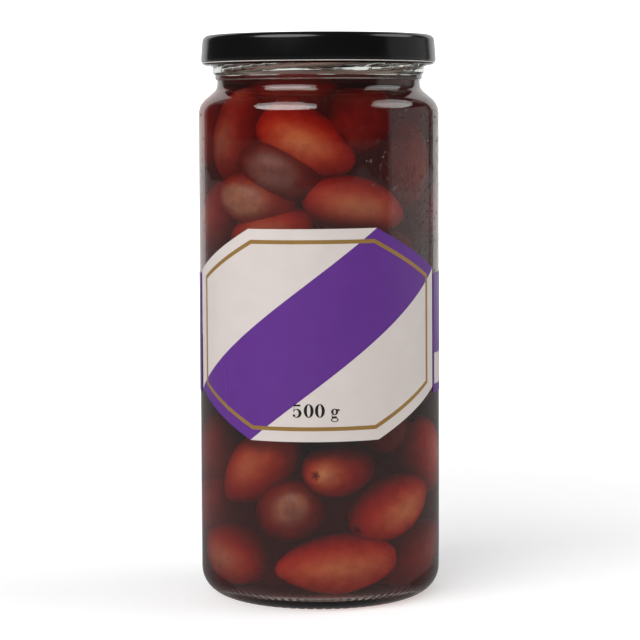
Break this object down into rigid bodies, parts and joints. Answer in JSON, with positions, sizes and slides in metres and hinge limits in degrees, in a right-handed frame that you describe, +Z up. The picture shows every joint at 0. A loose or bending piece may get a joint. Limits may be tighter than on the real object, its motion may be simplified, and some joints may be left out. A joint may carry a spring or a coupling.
{
  "type": "jar of olives",
  "caption": "Tall sealed glass jar of dark olives in brine, with a black twist-off metal lid, an eight-sided front label and a plain back label.",
  "frame": {"origin": "centre of the ring that the jar stands on, on the jar's axis", "axes": "+Z up along the jar's axis, -Y towards the viewer who faces the front label, +X to that viewer's right"},
  "size_m": [0.0712, 0.0712, 0.1655],
  "materials": {
    "glass": "clear, glossy, moulded",
    "lid_lacquer": "black lacquered tinplate, satin gloss",
    "seal": "soft moulded sealing compound",
    "brine": "clear dark red brine",
    "front_paper": "white coated paper with printed colour fields",
    "back_paper": "purple printed coated paper",
    "olive_skin": "smooth wet olive skin"
  },
  "bodies": {
    "root": {"jar": "glass", "lid": "lid_lacquer", "lid_seal": "seal", "brine": "brine", "front_label": "front_paper", "back_label": "back_paper"}
  },
  "joints": []
}
